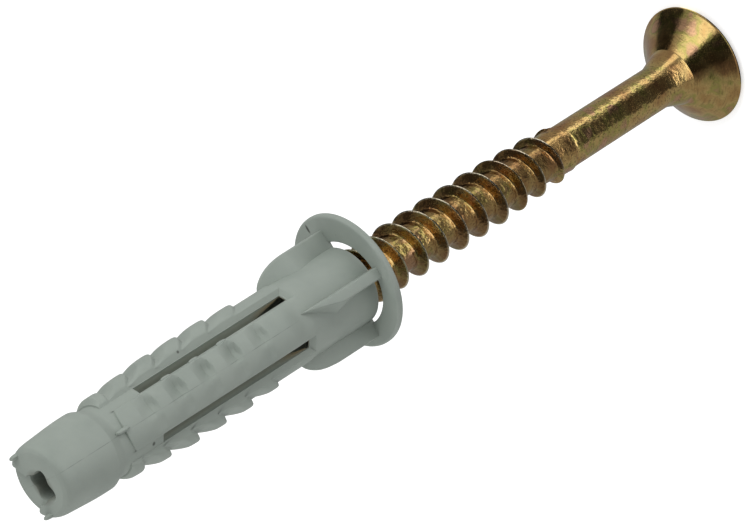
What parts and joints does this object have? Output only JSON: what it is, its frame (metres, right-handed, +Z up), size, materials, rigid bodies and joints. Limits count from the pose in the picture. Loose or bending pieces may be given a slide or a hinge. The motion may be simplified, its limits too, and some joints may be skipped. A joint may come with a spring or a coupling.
{
  "type": "wall plug with screw",
  "caption": "Moulded nylon expansion plug with toothed legs, side wings and a collar ring, with a countersunk cross-recess wood screw started in its sleeve.",
  "frame": {"origin": "centre of the bounding box in plan, at the screw head's flat top, on which the part stands", "axes": "+Z up along the common axis from the screw's head to the plug's nose, -Y and +X each along a leg"},
  "size_m": [0.0134, 0.0134, 0.0907],
  "materials": {
    "nylon": "satin moulded",
    "yellow_zinc": "yellow zinc plated"
  },
  "bodies": {
    "screw": {"screw": "yellow_zinc"},
    "plug": {"wall_plug": "nylon"}
  },
  "joints": [
    {"name": "screw_drive", "type": "slide", "parent": "screw", "child": "plug", "axis": [0, 0, -1], "range_m": [-0.0095, 0.0072]}
  ]
}
